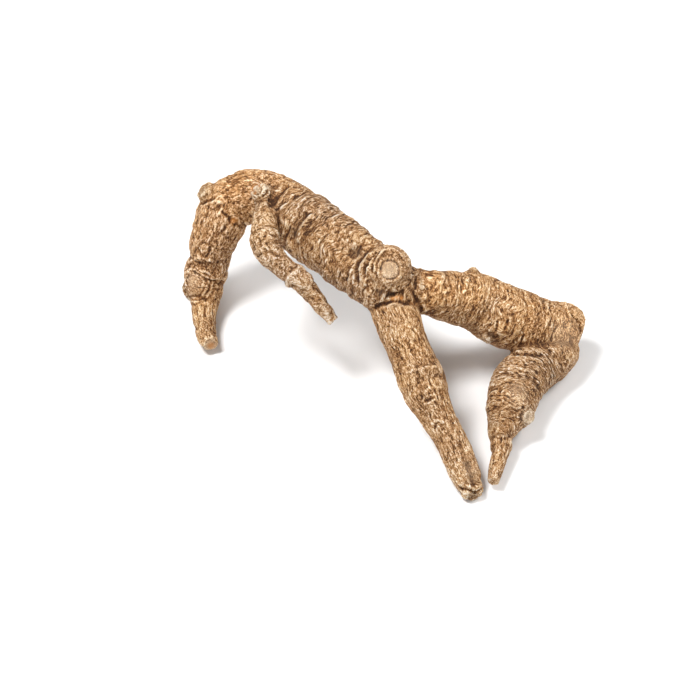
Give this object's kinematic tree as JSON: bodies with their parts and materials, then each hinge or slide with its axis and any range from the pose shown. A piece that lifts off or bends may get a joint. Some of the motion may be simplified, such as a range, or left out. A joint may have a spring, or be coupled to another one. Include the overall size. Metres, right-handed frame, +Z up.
{
  "type": "american ginseng root",
  "caption": "Whole dried ginseng root with a ringed torso, a round stem scar, bent arms and one long leg, lying on a surface.",
  "frame": {"origin": "on the surface that the root lies on, below the middle of its outer box", "axes": "+Z up, +X from the left arm towards the elbow, +Y from the leg's broken end towards the shoulder"},
  "size_m": [0.1283, 0.109, 0.0488],
  "materials": {
    "bark": "dry matt tan bark with pale ridges and brown furrows"
  },
  "bodies": {
    "root": {"ginseng_root": "bark"}
  },
  "joints": []
}
